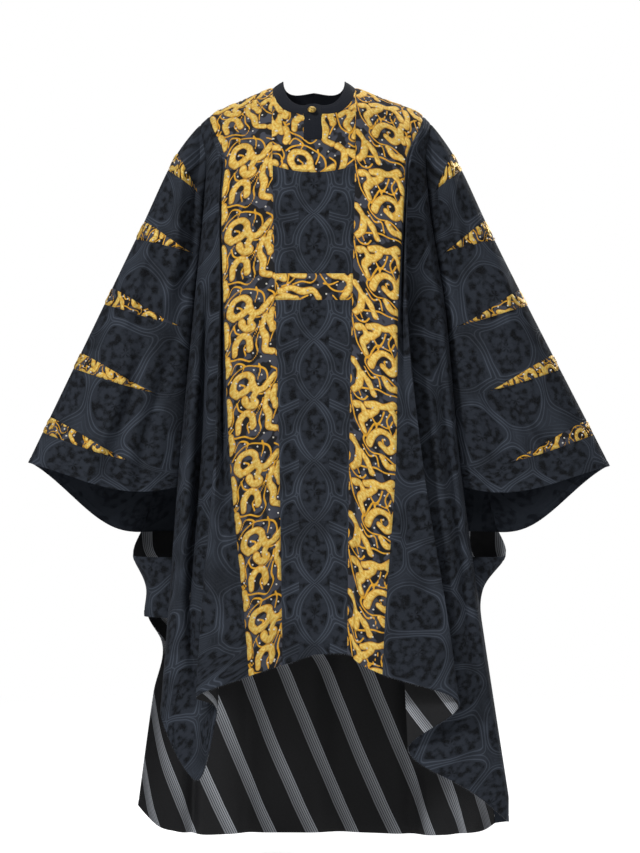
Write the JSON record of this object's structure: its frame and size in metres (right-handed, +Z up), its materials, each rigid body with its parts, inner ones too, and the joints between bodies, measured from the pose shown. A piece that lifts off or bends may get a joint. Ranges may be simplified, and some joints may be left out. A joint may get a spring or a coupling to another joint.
{
  "type": "grand boubou robe",
  "caption": "Wide-sleeved full-length robe with a dipped side hem, gold panels down the front, a plain neckband, a buttoned neck placket and a striped lining.",
  "frame": {"origin": "between the shoulders at the base of the neck, where the wearer's neck and shoulders hold the robe up (mount shoulders)", "axes": "+Z up, -Y towards the wearer's front, +X towards the right of someone facing the front, so the wearer's left"},
  "size_m": [1.2083, 0.3768, 1.5935],
  "materials": {
    "jacquard": "matt dark blue-grey cotton jacquard with a woven tone-on-tone design",
    "gold_brocade": "dark brocade covered with raised gold thread work",
    "plain_trim": "plain dark navy cloth",
    "lining": "smooth black cloth with bands of fine pale stripes",
    "brass": "soft gold, finely textured"
  },
  "bodies": {
    "root": {"neckband": "plain_trim", "placket": "plain_trim", "button": "brass", "yoke_front": "gold_brocade", "crossbar": "gold_brocade", "yoke_back": "gold_brocade", "centre_upper": "jacquard", "centre_lower": "jacquard", "back_centre": "jacquard", "lining_back": "lining", "band_left": "gold_brocade", "lining_front_left": "lining", "gore_front_left": "jacquard", "gore_back_left": "jacquard", "sleeve_front_left": "jacquard", "sleeve_back_left": "jacquard", "wrap_left": "jacquard", "wedge_left_1": "gold_brocade", "wedge_left_2": "gold_brocade", "wedge_left_3": "gold_brocade", "wedge_left_4": "gold_brocade", "wedge_left_5": "gold_brocade", "band_right": "gold_brocade", "lining_front_right": "lining", "gore_front_right": "jacquard", "gore_back_right": "jacquard", "sleeve_front_right": "jacquard", "sleeve_back_right": "jacquard", "wrap_right": "jacquard", "wedge_right_1": "gold_brocade", "wedge_right_2": "gold_brocade", "wedge_right_3": "gold_brocade", "wedge_right_4": "gold_brocade", "wedge_right_5": "gold_brocade"}
  },
  "joints": []
}
